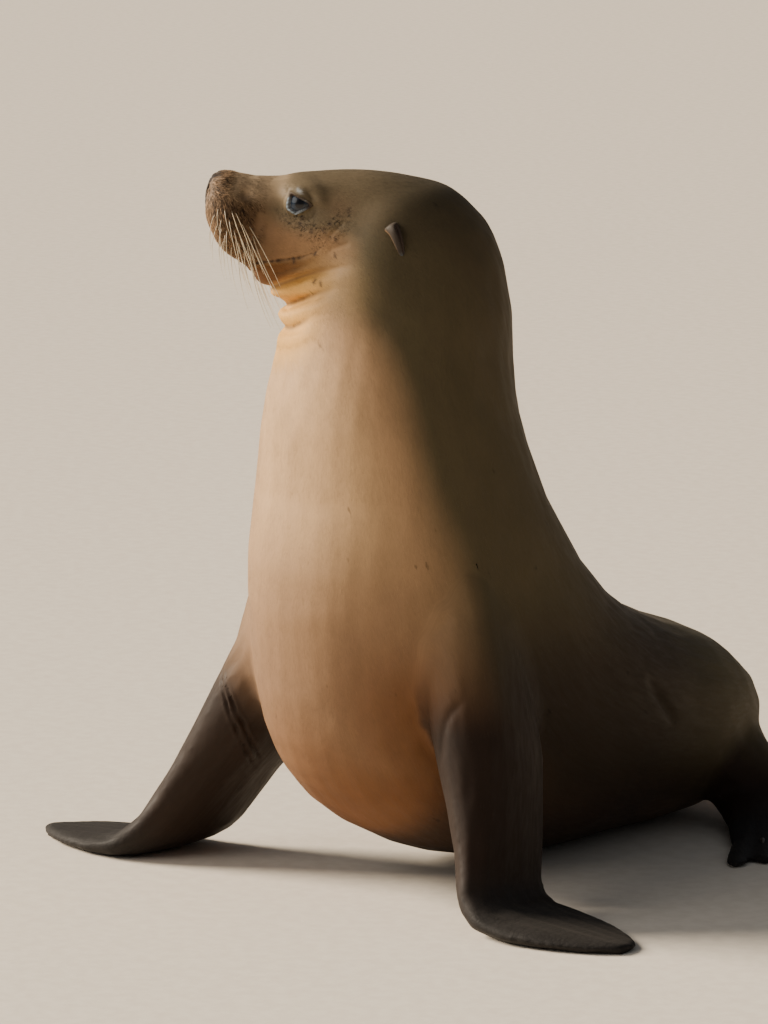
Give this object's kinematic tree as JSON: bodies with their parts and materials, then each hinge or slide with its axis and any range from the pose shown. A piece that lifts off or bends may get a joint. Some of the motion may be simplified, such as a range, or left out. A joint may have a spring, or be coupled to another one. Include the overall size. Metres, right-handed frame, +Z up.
{
  "type": "sea lion model",
  "caption": "Life-size still model of a young sea lion, sitting upright on its fore flippers with the head raised and turned to its right",
  "frame": {"origin": "on the floor, below the middle of the model's box", "axes": "+Z up; the trunk faces -Y; the animal's left side is +X; the head turns to its right, towards -X"},
  "size_m": [0.7928, 0.745, 0.7295],
  "materials": {
    "coat": "short flat fur, olive brown above and tan below",
    "flipper_skin": "bare dark leathery skin, matt with a faint sheen",
    "nose_skin": "moist dark skin",
    "eye": "wet dark gloss",
    "claw": "dark horn, satin"
  },
  "bodies": {
    "root": {"head": "coat", "lower_jaw": "coat", "neck": "coat", "trunk": "coat", "tail": "coat", "ear_left": "coat", "ear_right": "coat", "fore_flipper_left": "flipper_skin", "fore_flipper_right": "flipper_skin", "hind_flipper_left": "flipper_skin", "hind_flipper_right": "flipper_skin", "nose": "nose_skin", "eye_left": "eye", "eye_right": "eye", "claw_left_1": "claw", "claw_left_2": "claw", "claw_left_3": "claw", "claw_right_1": "claw", "claw_right_2": "claw", "claw_right_3": "claw"}
  },
  "joints": []
}
